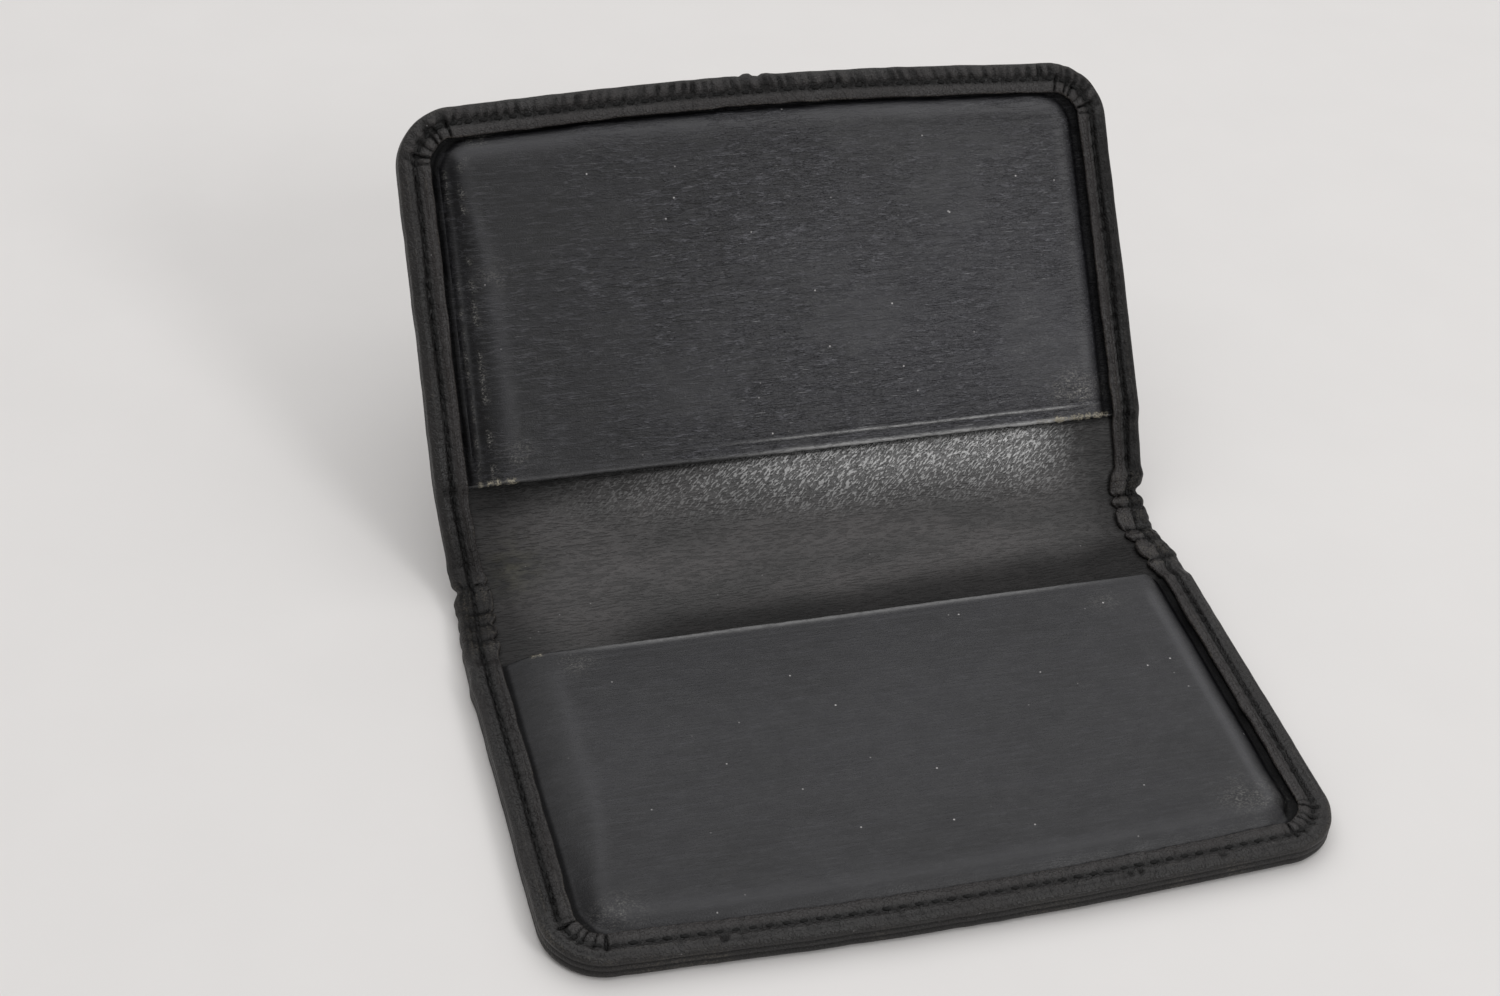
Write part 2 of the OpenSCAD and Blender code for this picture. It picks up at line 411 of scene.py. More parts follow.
def silhouette(x, t):
    """How far the outer edge stands out, in millimetres."""
    wave = 0.07 * noise(t / 6 + x / 7, x / 9, 41) + 0.05 * noise(t / 1.9, x / 1.9, 42)
    right = -0.75 * ridge(t, 6.6, 0.7) + 0.45 * ridge(t, -6.6, 0.9) + 0.3 * ridge(t, 9.2, 1.5)
    left = -0.6 * ridge(t, 3.7, 0.8) + 0.3 * ridge(t, -15.2, 1.6) + 0.25 * ridge(t, 7, 1.4)
    fine = 0.12 * noise(t / 0.7, x / 3, 43) + 0.3 * (lobes(x, t) - 0.6)
    torn = (ridge(x, -1, 3.2) + 0.6 * ridge(x, 47.5, 2.5)) * (t > 50)
    rough = crumple(x, t) * fine + 0.3 * torn * noise(x / 0.7, 0, 44)
    return wave + np.where(x > 0, right, left) * (np.abs(x) > HALF_W - 9) + rough


def hem_bands(x, y, d, k, side):
    """The seam's groove, the rounded bands on both sides of it, and their ribs."""
    t = flat_y(y, side)
    seed = HEM_SEED[side]
    on_edge = outer_edge_share(y)
    near = on_edge * (side == "back")
    lean = 0.16 * (d - SEAM) * noise(k / 5, x * 0, seed)
    hole = cuts(k + lean, 1, 0.15, seed + 1, 0.1)
    rib = cuts(k + lean, 1, 0.2, seed + 6, 0.25)
    half_rib = cuts(k + 0.5 + lean, 1, 0.14, seed + 2, 0.3)
    seam = ridge(d, SEAM, 0.5)
    outer = between(d, 0.2, 2.15, 0.25)
    inner = between(d, 2.9, 4.6, 0.3)
    outer_rib, inner_rib = STITCH_RIBS[side]
    outer_half, inner_half = HALF_RIBS[side]
    sides = (0.25 + 0.75 * on_edge) * (0.75 + 0.4 * noise(k / 3, d, seed + 3))
    ribs = rib * (outer_rib * outer + inner_rib * inner)
    ribs = sides * (ribs + half_rib * (outer_half * outer + inner_half * inner))
    plain = 1 - 0.85 * crumple(x, t)
    soft = 0.06 * noise(x / 7, t / 7, 47) + 0.03 * noise(x / 1.3, t / 1.3, 48)
    long_ridges = np.sin(d * 7.5 + 1.2 * noise(t / 9, x * 0, seed + 5)) * ramp(d, 0.3, 0.9)
    high = 0.13 * ridge(d, 1.35, 0.55) + 0.08 * ridge(d, 3.6, 0.45) + soft
    high = high + 0.1 * (1 - on_edge) * long_ridges
    high = high - plain * (seam * (0.3 + 0.18 * hole) + ribs) + 0.16 * near * seam
    # Painted shade in the seam's holes and between the ribs
    dark = plain * (seam * (0.6 + 0.4 * hole * (1 - 0.8 * near)) + RIB_PAINTED_SHADE[side] * ribs)
    # Front half: painted shade on the outer band towards the right, away from the outer edge; back half:
    # painted shade towards the left
    if side == "front":
        return high, dark + 0.55 * ramp(x, 0, 20) * (1 - on_edge) * ramp(-d, -2.9, -2.3)
    return high, dark + 0.25 * ramp(-x, 10, 40) * (1 - on_edge)


def hem_tears(x, d, near):
    """Small tears, and a step between the layers, along the back half's outer edge."""
    torn = sum(ridge(x, at, 0.5) for at in TEARS) * ridge(d, 1.5, 0.4) * near
    step = near * (0.5 + 0.5 * noise(x / 6, 0, 73)) * ridge(d, 1, 0.22)
    # Painted shade in the tears and along the step
    return -0.35 * torn - 0.16 * step, 0.9 * torn + 0.5 * step


def hem_pleats(xy, d, side):
    """Pleats where the hem is turned round a corner."""
    x, y = xy[..., 0], xy[..., 1]
    seed = HEM_SEED[side]
    angle = corner_turn(xy)
    turn = angle / PLEAT_DEGREES + 0.18 * noise(d / 1.2, angle / 20, seed + 7)
    pleat = cuts(turn + 0.5, 1, 0.14, seed + 4, 0.2) * corner_share(xy) * ramp(d, 1.2, 2.4)
    grain = 0.06 * noise(x / 0.9, y / 0.9, seed + 8) + 0.04 * noise(x / 0.45, y / 0.45, 74)
    rough = corner_share(xy) * grain
    # Painted shade in the pleats and in the dips of the rough corners
    return rough - 0.42 * pleat, 1.5 * pleat + 1.5 * np.maximum(-rough, 0)


def hem_creases(x, t, d):
    """Lobes and cracks of the hem where it crosses the spine."""
    fold = crumple(x, t)
    lobe = lobes(x, t)
    fine = 0.13 * noise(x / 0.8, t / 0.8, 71) + 0.1 * noise(x / 0.45, t / 0.45, 72)
    pitted = 0.25 + 0.4 * ramp(noise(x / 0.7, t / 0.7, 75), -0.3, 0.5)
    high = fold * ((lobe - 0.6) * (0.34 + 0.3 * ramp(d, 1.5, 4)) + fine)
    # Painted shade in the cracks between the lobes and in pits, and more of it at the left of the spine
    dark = fold * (0.9 * (1 - ramp(lobe, 0.15, 0.6)) + pitted * ramp(-d, -3.1, -2.3))
    return high, dark + 0.3 * between(t, -9, 14, 3) * ramp(-x, 0, 10)


def hem_relief(xy, d, k, side):
    """Height of the hem's surface over its plain level, and the painted shade in its dips and on parts of its
    bands.

    d is the inset and k counts stitch holes along the seam.
    """
    x, y = xy[..., 0], xy[..., 1]
    near = outer_edge_share(y) * (side == "back")
    parts = [
        hem_bands(x, y, d, k, side),
        hem_tears(x, d, near),
        hem_pleats(xy, d, side),
        hem_creases(x, flat_y(y, side), d),
    ]
    return sum(high for high, _ in parts), np.clip(sum(dark for _, dark in parts), 0, 1)


def cover_run(sheet):
    """What changes along the cover's rings, with one value for each point."""
    edge = COVER.line(0)
    x, y = edge.T
    t = flat_y(y, sheet.side)
    creased = crumple(x, t)
    return SimpleNamespace(
        sheet=sheet, side=sheet.side, edge=edge,
        holes=seam_line()[1],
        moves=silhouette(x, t),
        top=hem_top(y),
        swell=0.12 * noise(x / 11, t / 11, 85),
        wear=ramp(noise(x / 4, t / 4, 81), 0, 0.8),
        hard=np.maximum(corner_share(edge), creased * 0.6),
        on_edge=outer_edge_share(y),
        lip_out=-0.13 * noise(x / 2.6, t / 2.6, 82) - 1.2 * creased * (lobes(x, t) - 0.35),
    )


def cover_ring(run, d, z, lip_share=0, **marks):
    """One ring. The edge's waves fade inwards, and the lip's waves come in by lip_share."""
    line = COVER.line(d)
    out = run.moves * math.exp(-d / 2.2) + run.lip_out * lip_share
    return run.sheet.add(line + normal_of(line) * out[:, None], z, **marks)


def outside_rows(run):
    """The outside of the leather, with the seam's groove on it."""
    for d, z in BELOW:
        groove = ridge(d, SEAM, 0.3) * 0.1 * cuts(run.holes, 1, 0.14, 84)
        worn = run.wear * ramp(-d, -0.7, -0.2)
        # Painted shade along the seam's groove
        marks = {"dark": ridge(d, SEAM, 0.35) * 0.6, "outside": float(ramp(d, 0.3, 1.2))}
        yield cover_ring(run, d, z + groove, wear=worn, **marks)


def edge_rows(run):
    """The edge, grooved between its layers of leather."""
    for d, share in EDGE:
        z = EDGE_FOOT + (run.top - EDGE_SHOULDER - EDGE_FOOT) * share
        z = z + run.swell * (1 - abs(2 * share - 1))
        grooved = d > 0.1
        # Painted shade in the grooves between the layers
        yield cover_ring(run, d, z, wear=run.wear * (not grooved), dark=0.55 * grooved)


def hem_rows(run):
    """The hem's shoulder and its top."""
    for d, z in ABOVE:
        high, dark = hem_relief(run.edge, d, run.holes, run.side)
        worn = (0.35 + 0.65 * run.wear) * (0.3 + 0.7 * run.hard)
        yield cover_ring(run, d, run.top + z + high * ramp(d, 0, 0.8), wear=worn, dark=dark * 0.6)
    for d in HEM_RINGS:
        high, dark = hem_relief(COVER.line(d), d, run.holes, run.side)
        worn = ramp(high, 0.06, 0.26) * (0.25 + 0.75 * np.maximum(run.wear, run.hard))
        # A paler inner band, and a painted highlight on the outer band along the outer edge
        outer_highlight = OUTER_HIGHLIGHT[run.side] * ramp(-d, -2.2, -1.9) * run.on_edge
        pale = (0.8 * ramp(d, 2.7, 3.1) + outer_highlight) * (1 - dark)
        yield cover_ring(run, d, run.top + high, ramp(d, 2.8, 4.3), wear=worn, dark=dark, pale=pale)


def lip_rows(run):
    """The hem's rounded inner edge."""
    for d, z in LIP:
        high, dark = hem_relief(COVER.line(d), LIP_INSET, run.holes, run.side)
        worn = (0.3 + 0.7 * run.wear) * ramp(z, -0.5, -0.1)
        # Painted highlight on the top of the rounded lip
        marks = {"wear": worn, "dark": dark * 0.5, "pale": ramp(z, -0.4, -0.1)}
        yield cover_ring(run, d, run.top + z + high * ramp(z, -0.66, -0.05), 1, **marks)


def cover_sheet(side):
    sheet = Sheet(side)
    run = cover_run(sheet)
    base = COVER_COARSE.core(COVER_CORE)
    sag = 0.06 * noise(base[..., 0] / 14, base[..., 1] / 14, 83)
    low = sheet.add(base, np.maximum(sag, 0) * 0.5, outside=1)
    sheet.fill(low, up=False)
    rows = [grid_border(low), *outside_rows(run), *edge_rows(run), *hem_rows(run), *lip_rows(run)]

    low_top = hem_top(COVER_COARSE.line(1)[:, 1])
    hidden = [(d, low_top + z) for d, z in UNDER] + [(d, COVER_T + z) for d, z in WALL]
    rows += [sheet.add(COVER_COARSE.line(d), z) for d, z in hidden]
    inner = sheet.add(base, COVER_T)
    sheet.fill(inner, up=True)
    rows.append(grid_border(inner))

    sheet.bands(rows)
    sheet.close_ends(rows)
    sheet.band(low[0][::-1], inner[0][::-1])
    return sheet


# ---- Lining ----

LINING = Outline(START, spread(HALF_L - CORNER_R - START, 17, 0.4, 2.4, 4), 8, 200)
LINING_LOW = 0.95
LINING_HIGH = 0.9


def lining_top(x, y):
    """The lining bridges the step between board and spine, except beside the hem."""
    bridged = np.maximum(ramp(y, -0.8, 2.6), ramp(side_x(0, y) - np.abs(x), 4.8, 8.5))
    return COVER_T + LINING_T + BOARD_T * bridged


def lining_relief(x, t):
    """The lining's rise where it spans the fold, with soft waves and fine creases, in millimetres."""
    span = 0.32 * ridge(t, SPINE_L / 2 - 0.6, 6) * ramp(-np.abs(x), -47, -36)
    soft = 0.07 * cloudy(x / 14, t / 7, 101, 2)
    creases = 0.012 * noise(x / 8, t / 0.9, 102) * between(t, -10, 10, 3)
    stain = 0.07 * noise((x + t) / 1.2, (x - t) / 6, 103) * ridge(x, -42.6, 4) * ridge(t, 6.5, 4)
    return span + soft + creases + stain


def lining_marks(x, t):
    """Where the lining is stained, where it is handled to a polish that carries painted highlight flecks, and
    where it takes painted shade.
    """
    stain = ridge(x, -42.5, 3.5) * ridge(t, 6, 3.5) * (0.6 + 0.4 * noise(x / 1.5, t / 1.5, 104))
    near_mouth = ramp(t + 0.04 * x + 0.5 * noise(x / 9, t / 6, 105), 7, 18.5)
    shine = near_mouth * ramp(x, -46, 12) * ramp(-x, -45, -33)
    # Painted shade: a band above the lower mouth, the ends beside the hem, the upper left and the gap under
    # the upper mouth
    wavy = -t + 0.8 * noise(x / 9, 0, 106) + 2.8 * ramp(x, 0, 40)
    deep = 0.9 * ramp(wavy, 2, 9) * ramp(x, -40, -22)
    ends = 0.55 * ramp(np.abs(x), 36, 47) + 0.15 * ramp(-x, 28, 40)
    corner = 0.5 * ramp(t, 12.5, 17.5) * ramp(-x, 4, 24)
    gap = 1.2 * ramp(t, SPINE_L + MOUTH_Y - 0.75, SPINE_L + MOUTH_Y - 0.1)
    return {"stain": stain, "shine": shine, "dark": np.clip(deep + ends + corner + gap, 0, 1)}


def lining_layer(sheet, inset, top):
    """The lining's underside, or its top with the relief of the part that shows."""
    grid = LINING.core(inset)
    x, y = grid[..., 0], grid[..., 1]
    t = flat_y(y, sheet.side)
    shown = between(y, -20, MOUTH_Y + 3, 2) * ramp(-np.abs(x), -HALF_W + 3.6, -HALF_W + 5.2)
    z = lining_top(x, y) + (lining_relief(x, t) * shown if top else -LINING_T)
    index = sheet.add(grid, z, **lining_marks(x, t))
    sheet.fill(index, up=top)
    return index


def lining_sheet(side):
    sheet = Sheet(side)
    low = lining_layer(sheet, LINING_LOW, top=False)
    high = lining_layer(sheet, LINING_HIGH, top=True)
    sheet.band(grid_border(low), grid_border(high))
    sheet.band(low[0][::-1], high[0][::-1])
    return sheet


# ---- Pockets ----

POCKET_START = MOUTH_Y + 0.35
POCKET = Outline(POCKET_START, spread(HALF_L - CORNER_R - POCKET_START, 3.2, 0.14, 0.5, 2), 24, 176)
POCKET_RINGS = [0.95, 2.5, 4, 4.4, 4.65, 4.9, 5.15, 5.4, 5.65, 5.9,
                6.15, 6.4, 6.65, 6.9, 7.15, 7.4, 7.7, 8.1, 8.6]
POCKET_CORE = 9.2
POCKET_SEED = {"back": 120, "front": 140}

# The raised panel's foot, inset from the sides and from the outer edge, its corners and its bevel
PANEL_SIDE = 5.5
PANEL_END = 4.7
PANEL_R = 5
BEVEL = 2.2
# Layers that show at the left of the front pocket: distance inside the panel's foot, height, width
LEFT_LAYERS = [(-0.4, 0.16, 0.3), (0.1, -0.2, 0.28), (0.8, 0.13, 0.35), (1.5, -0.12, 0.35), (2.6, 0.08, 0.4)]
# Rubbed places on the pockets: x, flat_y, radius and strength
SCUFFS = [(42, 22.6, 2.6, 1.3), (-40.4, 22.3, 1.5, 0.6), (-42.5, -57, 2.4, 0.4), (42, -54.8, 3.2, 0.5),
          (-38.3, -14.3, 1.6, 0.55), (37.5, -16, 1.8, 0.35), (-41, 66, 1.2, 0.5), (-41, 47, 1.6, 0.4)]
# Frayed places on the mouths: x, radius and strength
FRAYED = {"back": [(-43.2, 0.9, 0.9)], "front": [(-43.6, 2.8, 0.75), (41.8, 5.2, 1)]}
# Degrees round the mouth's cut edge
LIP_TURNS = (-50, -15, 15, 40, 65)


def panel_depth(x, y):
    """Distance inside the foot of the raised panel."""
    bow = EDGE_BOW * np.maximum(0, 1 - (x / (HALF_W - CORNER_R)) ** 2)
    in_x = PANEL_R - (side_x(0, y) - np.abs(x) - PANEL_SIDE)
    in_y = PANEL_R - (HALF_L + bow - y - PANEL_END)
    outside = np.hypot(np.maximum(in_x, 0), np.maximum(in_y, 0))
    return PANEL_R - outside - np.minimum(np.maximum(in_x, in_y), 0)


def in_rows(x, y):
    """Positive where the raised panel's nearest edge is the outer one, and not a side."""
    return (side_x(0, y) - np.abs(x)) - (HALF_L - y)


def scuffs(x, t):
    rubbing = sum(high * ridge(x, cx, r * 1.3) * ridge(t, ct, r) for cx, ct, r, high in SCUFFS)
    return rubbing * (0.6 + 0.5 * noise(x / 0.9, t / 0.7, 164))


def frayed(x, side):
    """Where the cut edge of the mouth shows its beige inside."""
    patch = sum(share * ridge(x, middle, width) for middle, width, share in FRAYED[side])
    return np.clip(patch * (0.7 + 0.6 * noise(x / 0.6, 0, 163)), 0, 1)


def painted_lip_highlight(x, side):
    """How strong the painted highlight along the mouth's edge is."""
    if side == "back":
        return 0.42 * ramp(x, -44, -25) * ramp(-x, -46, -20)
    return 0.12 + 0.88 * ramp(x, -16, 8) * ramp(-x, -44, -38)


def pocket_place(x, y, side):
    """Points of a pocket, with their place on its raised panel."""
    front, seed, t = side == "front", POCKET_SEED[side], flat_y(y, side)
    rows, right = in_rows(x, y), ramp(x, -5, 5)
    s = panel_depth(x, y) + 0.12 * noise(x / 5, t / 5, seed)
    outward = ramp(rows, -0.5, 1.5)
    wide = BEVEL + 2.9 * ramp(-x, 26, 42) * (1 - ramp(rows, -16, 3))
    end = -0.6 + 0.7 * np.maximum(right, outward) if front else -0.75 + 0.7 * right * (1 - outward)
    return SimpleNamespace(
        x=x, t=t, s=s, side=side, front=front, seed=seed, outward=outward, wide=wide,
        mouth=y - MOUTH_Y,
        side_in=side_x(0, y) - np.abs(x),
        rim=ridge(s, wide + 0.5, 1.2),
        left=front * ramp(-x, -5, 5) * (1 - ramp(rows, -4, 5)),
        creased=ramp(x, -34, 6) if front else 0.04,
        # The trough round the panel's foot, which also takes painted shade
        groove=ramp(-s, -end - 0.9, -end + 0.4),
    )


def pocket_top(p):
    """Height of the top of the pocket leather."""
    share = np.clip(p.s / p.wide, 0, 1)
    rise = 0.6 * (1 - (1 - share) ** 2.3) + 0.4 * smooth(share)
    soft = 0.1 * cloudy(p.x / 16, p.t / 12, p.seed + 1) - 0.03
    fine = (0.02 if p.front else 0.004) * noise(p.x / 2.2, p.t / 0.7, p.seed + 5)
    crease = 0.1 * ridge(p.mouth, 2, 0.17) - 0.07 * ridge(p.mouth, 2.45, 0.3) - 0.1 * ridge(p.mouth, 1.2, 0.6)
    layers = sum(step * ridge(p.s, at, width) for at, step, width in LEFT_LAYERS)
    high = RIM_TOP - 0.03 + (RAISE_TOP - RIM_TOP) * rise + (0.1 if p.front else 0.04) * p.rim
    high = high + ramp(p.s, 0.6, 3) * (soft + fine) + p.left * layers * ramp(p.mouth, 1, 5)
    high = high + (0.06 * ridge(p.mouth, 0.3, 0.3) + crease * p.creased) * ramp(p.s, 0.2, 1.8)
    return high - 0.22 * p.groove * ramp(p.s, -1.3, -0.9)


def pocket_painted_shade(p):
    """Painted shade along the panel's left side, on its slope at the right, and towards the outer edge."""
    if p.front:
        left = 0.42 * ramp(-p.side_in, -11, -7.6)
        outer = 0.22 * p.outward * ridge(p.s, 3.5, 0.6) * ramp(p.x, 0, 20) + 0.14 * ramp(p.t, 42, 66)
    else:
        left = 0.4 * ramp(-p.side_in, -13.5, -5)
        outer = 0.12 * ramp(-p.t, 46, 64)
    return np.where(p.x < 0, left, 0.5 * ramp(-p.s, -2.6, -0.4)) * (1 - p.outward) + outer


def pocket_highlights(p):
    """Painted highlights on the rims round the panel and on its bevel at the outer edge."""
    right_rim = 0.8 * (p.x > 0) * ridge(p.s, 2.8, 0.5) * (1 - p.outward)
    bevel = 0.85 * ridge(p.s, 1.9, 0.9) if p.front else 0.2 * ridge(p.s, 1, 1)
    return (0.4 * p.rim + right_rim) * ramp(p.mouth, 2, 5) + p.outward * bevel


def pocket_highlight_lines(p):
    """Painted highlights along the mouth's edge and along the crease beside it."""
    lip = ridge(p.mouth, 0.22, 0.3) if p.front else 0.8 * ridge(p.mouth, 0.4, 0.42)
    crease = 0.85 * p.creased * ridge(p.mouth, 2, 0.15)
    return painted_lip_highlight(p.x, p.side) * (lip + crease) * ramp(p.s, 0.5, 2)


def pocket_wear(p):
    """Rubbed dots along the layers at the left, and the scuffs."""
    dotted = ridge(p.s, 2.7, 0.3) + 0.7 * ridge(p.s, 0.8, 0.22)
    broken = ramp(noise(p.x / 1.2, p.t / 1.2, p.seed + 7), -0.2, 0.5)
    return 0.75 * p.left * dotted * broken + scuffs(p.x, p.t)


def pocket_face(p):
    """How wrinkled the leather is, and its painted light: on the front pocket lighter to the right and darker
    towards the outer edge, on the back one lighter in the middle and away from the outer edge. Both fade
    towards the front pocket's left.
    """
    if not p.front:
        return 0.12, 0.16 + 0.1 * ramp(p.t, -66, -35) + 0.06 * ridge(p.x, 0, 28)
    patches = ramp(cloudy(p.x / 12, p.t / 9, p.seed + 8), -0.5, 0.3)
    crackle = (0.4 + 0.6 * patches) * (0.4 + 0.6 * ramp(p.x, -40, 0))
    return crackle, ramp(p.x, -44, 44) * (1 - 0.55 * ramp(p.t, 38, 66))


def pocket_marks(p):
    crackle, tone = pocket_face(p)
    shares = {
        "wear": pocket_wear(p),
        # Painted shade in the trough, below the mouth's crease and on the panel's shaded sides
        "dark": p.groove + 0.25 * p.creased * ridge(p.mouth, 2.5, 0.25) + pocket_painted_shade(p),
        "pale": pocket_highlights(p),
        "line": pocket_highlight_lines(p),
    }
    marks = {name: np.clip(share, 0, 1) for name, share in shares.items()}
    return marks | {"crackle": crackle, "tone": tone}


def pocket_layer(sheet, xy, top):
    """Points of the pocket's top, or of its underside, which is open over the space for cards."""
    x, y = xy[..., 0], xy[..., 1]
    place = pocket_place(x, y, sheet.side)
    high = pocket_top(place)
    if not top:
        # The hidden underside is all painted shade
        return sheet.add(xy, np.maximum(LINING_TOP, high - POCKET_T), dark=1)
    raw = frayed(x, sheet.side) * ridge(y, POCKET_START, 0.5)
    return sheet.add(xy, high, raw=raw, **pocket_marks(place))


def mouth_lip(sheet, low, top):
    """The cut edge of the mouth, rounded from its lowest row of points to its top one."""
    points = np.concatenate(sheet.points)
    lip = [low]
    for turn in LIP_TURNS:
        a = math.radians(turn)
        out, up = math.cos(a), (math.sin(a) + 1) / 2
        p = points[low] * (1 - up) + points[top] * up
        x = p[:, 0]
        raw = frayed(x, sheet.side)
        wobble = 0.06 * noise(x / 3, 0, 161) + 0.04 * noise(x / 0.8, 0, 162)
        crumbs = 0.34 * raw * noise(x / 0.24, turn / 20, 165)
        p[:, 1] -= out * (0.36 + wobble + crumbs)
        line = painted_lip_highlight(x, sheet.side) * ramp(turn, -15, 40)
        # Painted shade under the cut edge, and a painted highlight along its top
        marks = {"dark": ridge(turn, -60, 40), "line": line, "raw": raw * ramp(turn, -40, -10)}
        lip.append(sheet.add(p[:, :2], p[:, 2] - 0.3 * crumbs, **marks))
    lip.append(top)
    rows = [row[::-1] for row in lip]
    sheet.bands(rows)
    sheet.close_ends(rows[::-1])


def pocket_sheet(side):
    sheet = Sheet(side)
    grid = POCKET.core(POCKET_CORE)
    lines = [POCKET.line(d) for d in POCKET_RINGS]
    low_core = pocket_layer(sheet, grid, top=False)
    sheet.fill(low_core, up=False)
    low_rings = [pocket_layer(sheet, line, top=False) for line in lines]
    top_rings = [pocket_layer(sheet, line, top=True) for line in lines]
    top_core = pocket_layer(sheet, grid, top=True)
    sheet.fill(top_core, up=True)
    sheet.bands([grid_border(low_core), *low_rings[::-1], *top_rings, grid_border(top_core)])

    def start_row(rings, middle):
        return np.concatenate([[r[0] for r in rings], middle[0], [r[-1] for r in rings[::-1]]])

    mouth_lip(sheet, start_row(low_rings, low_core), start_row(top_rings, top_core))
    return sheet


# ---- Thread ----

STITCH_L = 1.5
THREAD_R = 0.24
STITCH_RINGS = 11
STITCH_SIDES = 10
THREAD_SEED = {"back": 180, "front": 190}
# The middle of an outer stitch over the leather's outside, and of an inner one under the hem's top
OUTER_STITCH = 0.2
INNER_STITCH = 0.02


def stitch_points(middle, tangent, bulge, random):
    """Points of one sunk stitch: two twisted plies, thick in the middle, with its ends pulled in."""
    u = np.linspace(-1, 1, STITCH_RINGS)[:, None]
    a = np.linspace(0, 2 * math.pi, STITCH_SIDES, endpoint=False)[None, :]
    taper = np.sqrt(np.maximum(0.02, 1 - np.abs(u) ** 3.2))
    ply = 1 + 0.13 * np.cos(2 * (a - 3.4 * u))
    r = THREAD_R * taper * ply * random.uniform(0.92, 1.06)
    lean = random.uniform(-0.16, 0.16)
    t = np.array([tangent[0] - lean * tangent[1], tangent[1] + lean * tangent[0]])
    n = np.array([t[1], -t[0]])
    lengthwise = u * STITCH_L / 2 * random.uniform(0.9, 1.04)
    across = r * 1.15 * np.cos(a)
    xy = middle[:2] + lengthwise[..., None] * t + across[..., None] * n
    z = middle[2] + bulge * (r * np.sin(a) - 0.24 * u**2) + random.uniform(-0.03, 0.03)
    return xy, np.broadcast_to(z, across.shape)


def thread_sheet(side, face):
    """All the stitches of one half on one face of the holder, inner or outer."""
    sheet = Sheet(side)
    line, holes, count = seam_line()
    random = np.random.default_rng(THREAD_SEED[side])
    inner = face == "inner"
    for k in range(count):
        at = np.array([np.interp(k + 0.5, holes, line[:, i]) for i in (0, 1)])
        ahead = np.array([np.interp(k + 0.7, holes, line[:, i]) for i in (0, 1)])
        tangent = (ahead - at) / np.linalg.norm(ahead - at)
        z = OUTER_STITCH
        if inner:
            z = hem_top(at[1]) + hem_relief(at, SEAM, k + 0.5, side)[0] - INNER_STITCH
        xy, z = stitch_points(np.array([*at, z]), tangent, 1 if inner else -1, random)
        rings = sheet.add(xy, z)
        closed = np.concatenate([rings, rings[:, :1]], 1)
        sheet.fill(closed, up=inner)
        caps = [rings[0].tolist(), rings[-1].tolist()[::-1]]
        sheet.faces += caps if inner else [c[::-1] for c in caps]
    return sheet


# ---- Materials ----


